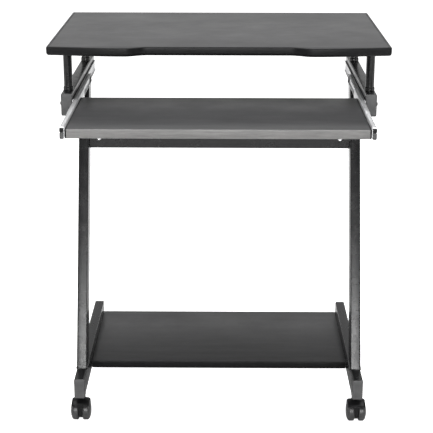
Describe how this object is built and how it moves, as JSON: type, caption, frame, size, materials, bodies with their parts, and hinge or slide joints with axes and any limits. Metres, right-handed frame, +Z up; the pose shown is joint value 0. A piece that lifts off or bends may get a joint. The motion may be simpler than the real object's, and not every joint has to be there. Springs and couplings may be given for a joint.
{
  "type": "computer desk",
  "caption": "Compact computer desk: Z-shaped steel tube side frames on twin-wheel casters, bow-fronted top on short posts, sliding keyboard tray on ball slides, crossbar and low shelf.",
  "frame": {"origin": "floor level, in the middle of the whole desk's box with the tray pulled out as shown", "axes": "+X across the desk to its right seen from the front, +Y towards the back, +Z up"},
  "size_m": [0.6, 0.6362, 0.75],
  "materials": {
    "laminate": "graphite laminate, fine grain, satin",
    "edge_trim": "black moulded edge strip, satin",
    "tray_trim": "light grey edge strip, satin",
    "powder_coat": "black powder coat, semi-gloss",
    "black_plastic": "black moulded plastic, satin",
    "gloss_plastic": "black moulded nylon, glossy",
    "zinc": "bright zinc plate",
    "bright_steel": "bright nickel plate",
    "black_bolt": "black oxide, satin"
  },
  "bodies": {
    "frame": {"desktop_board": "laminate", "desktop_edge_trim": "edge_trim", "lower_shelf": "laminate", "crossbar": "powder_coat", "base_rail_left": "powder_coat", "side_rail_left": "powder_coat", "upright_left": "powder_coat", "base_cap_front_left": "black_plastic", "base_cap_rear_left": "black_plastic", "side_cap_front_left": "black_plastic", "side_cap_rear_left": "black_plastic", "post_front_left": "powder_coat", "post_rear_left": "powder_coat", "crossbar_bolt_left": "bright_steel", "slide_outer_left": "zinc", "slide_bolt_front_left": "black_bolt", "slide_bolt_rear_left": "black_bolt", "base_rail_right": "powder_coat", "side_rail_right": "powder_coat", "upright_right": "powder_coat", "base_cap_front_right": "black_plastic", "base_cap_rear_right": "black_plastic", "side_cap_front_right": "black_plastic", "side_cap_rear_right": "black_plastic", "post_front_right": "powder_coat", "post_rear_right": "powder_coat", "crossbar_bolt_right": "bright_steel", "slide_outer_right": "zinc", "slide_bolt_front_right": "black_bolt", "slide_bolt_rear_right": "black_bolt", "caster_front_left_stem": "zinc", "caster_front_right_stem": "zinc", "caster_rear_left_stem": "zinc", "caster_rear_right_stem": "zinc"},
    "tray": {"tray_board": "laminate", "tray_front_trim": "tray_trim", "slide_inner_left": "zinc", "slide_inner_right": "zinc"},
    "slide_middle_left": {"slide_middle_left": "zinc"},
    "slide_cage_outer_left": {"slide_cage_outer_left": "zinc"},
    "slide_cage_inner_left": {"slide_cage_inner_left": "zinc"},
    "slide_middle_right": {"slide_middle_right": "zinc"},
    "slide_cage_outer_right": {"slide_cage_outer_right": "zinc"},
    "slide_cage_inner_right": {"slide_cage_inner_right": "zinc"},
    "caster_front_left_swivel": {"caster_front_left_body": "black_plastic", "caster_front_left_axle": "zinc"},
    "caster_front_left_wheel_left": {"caster_front_left_wheel_left": "gloss_plastic"},
    "caster_front_left_wheel_right": {"caster_front_left_wheel_right": "gloss_plastic"},
    "caster_front_right_swivel": {"caster_front_right_body": "black_plastic", "caster_front_right_axle": "zinc"},
    "caster_front_right_wheel_left": {"caster_front_right_wheel_left": "gloss_plastic"},
    "caster_front_right_wheel_right": {"caster_front_right_wheel_right": "gloss_plastic"},
    "caster_rear_left_swivel": {"caster_rear_left_body": "black_plastic", "caster_rear_left_axle": "zinc"},
    "caster_rear_left_wheel_left": {"caster_rear_left_wheel_left": "gloss_plastic"},
    "caster_rear_left_wheel_right": {"caster_rear_left_wheel_right": "gloss_plastic"},
    "caster_rear_right_swivel": {"caster_rear_right_body": "black_plastic", "caster_rear_right_axle": "zinc"},
    "caster_rear_right_wheel_left": {"caster_rear_right_wheel_left": "gloss_plastic"},
    "caster_rear_right_wheel_right": {"caster_rear_right_wheel_right": "gloss_plastic"}
  },
  "joints": [
    {"name": "tray_slide", "type": "slide", "parent": "frame", "child": "tray", "axis": [0, -1, 0], "range_m": [-0.194, 0.15]},
    {"name": "slide_middle_left_slide", "type": "slide", "parent": "frame", "child": "slide_middle_left", "axis": [0, -1, 0], "range_m": [-0.097, 0.075]},
    {"name": "slide_cage_outer_left_slide", "type": "slide", "parent": "frame", "child": "slide_cage_outer_left", "axis": [0, -1, 0], "range_m": [-0.0485, 0.0375]},
    {"name": "slide_cage_inner_left_slide", "type": "slide", "parent": "frame", "child": "slide_cage_inner_left", "axis": [0, -1, 0], "range_m": [-0.1455, 0.1125]},
    {"name": "slide_middle_right_slide", "type": "slide", "parent": "frame", "child": "slide_middle_right", "axis": [0, -1, 0], "range_m": [-0.097, 0.075]},
    {"name": "slide_cage_outer_right_slide", "type": "slide", "parent": "frame", "child": "slide_cage_outer_right", "axis": [0, -1, 0], "range_m": [-0.0485, 0.0375]},
    {"name": "slide_cage_inner_right_slide", "type": "slide", "parent": "frame", "child": "slide_cage_inner_right", "axis": [0, -1, 0], "range_m": [-0.1455, 0.1125]},
    {"name": "caster_front_left_swivel", "type": "hinge", "parent": "frame", "child": "caster_front_left_swivel", "pos_m": [-0.27, -0.06, 0.05], "axis": [0, 0, 1], "continuous": true},
    {"name": "caster_front_left_wheel_left_spin", "type": "hinge", "parent": "caster_front_left_swivel", "child": "caster_front_left_wheel_left", "pos_m": [-0.282, -0.072, 0.02], "axis": [1, 0, 0], "continuous": true},
    {"name": "caster_front_left_wheel_right_spin", "type": "hinge", "parent": "caster_front_left_swivel", "child": "caster_front_left_wheel_right", "pos_m": [-0.258, -0.072, 0.02], "axis": [1, 0, 0], "continuous": true},
    {"name": "caster_front_right_swivel", "type": "hinge", "parent": "frame", "child": "caster_front_right_swivel", "pos_m": [0.27, -0.06, 0.05], "axis": [0, 0, 1], "continuous": true},
    {"name": "caster_front_right_wheel_left_spin", "type": "hinge", "parent": "caster_front_right_swivel", "child": "caster_front_right_wheel_left", "pos_m": [0.258, -0.072, 0.02], "axis": [1, 0, 0], "continuous": true},
    {"name": "caster_front_right_wheel_right_spin", "type": "hinge", "parent": "caster_front_right_swivel", "child": "caster_front_right_wheel_right", "pos_m": [0.282, -0.072, 0.02], "axis": [1, 0, 0], "continuous": true},
    {"name": "caster_rear_left_swivel", "type": "hinge", "parent": "frame", "child": "caster_rear_left_swivel", "pos_m": [-0.27, 0.286, 0.05], "axis": [0, 0, 1], "continuous": true},
    {"name": "caster_rear_left_wheel_left_spin", "type": "hinge", "parent": "caster_rear_left_swivel", "child": "caster_rear_left_wheel_left", "pos_m": [-0.282, 0.274, 0.02], "axis": [1, 0, 0], "continuous": true},
    {"name": "caster_rear_left_wheel_right_spin", "type": "hinge", "parent": "caster_rear_left_swivel", "child": "caster_rear_left_wheel_right", "pos_m": [-0.258, 0.274, 0.02], "axis": [1, 0, 0], "continuous": true},
    {"name": "caster_rear_right_swivel", "type": "hinge", "parent": "frame", "child": "caster_rear_right_swivel", "pos_m": [0.27, 0.286, 0.05], "axis": [0, 0, 1], "continuous": true},
    {"name": "caster_rear_right_wheel_left_spin", "type": "hinge", "parent": "caster_rear_right_swivel", "child": "caster_rear_right_wheel_left", "pos_m": [0.258, 0.274, 0.02], "axis": [1, 0, 0], "continuous": true},
    {"name": "caster_rear_right_wheel_right_spin", "type": "hinge", "parent": "caster_rear_right_swivel", "child": "caster_rear_right_wheel_right", "pos_m": [0.282, 0.274, 0.02], "axis": [1, 0, 0], "continuous": true}
  ],
  "couplings": [
    {"joint": "slide_middle_left_slide", "follows": "tray_slide", "ratio": 0.5},
    {"joint": "slide_cage_outer_left_slide", "follows": "tray_slide", "ratio": 0.25},
    {"joint": "slide_cage_inner_left_slide", "follows": "tray_slide", "ratio": 0.75},
    {"joint": "slide_middle_right_slide", "follows": "tray_slide", "ratio": 0.5},
    {"joint": "slide_cage_outer_right_slide", "follows": "tray_slide", "ratio": 0.25},
    {"joint": "slide_cage_inner_right_slide", "follows": "tray_slide", "ratio": 0.75}
  ]
}
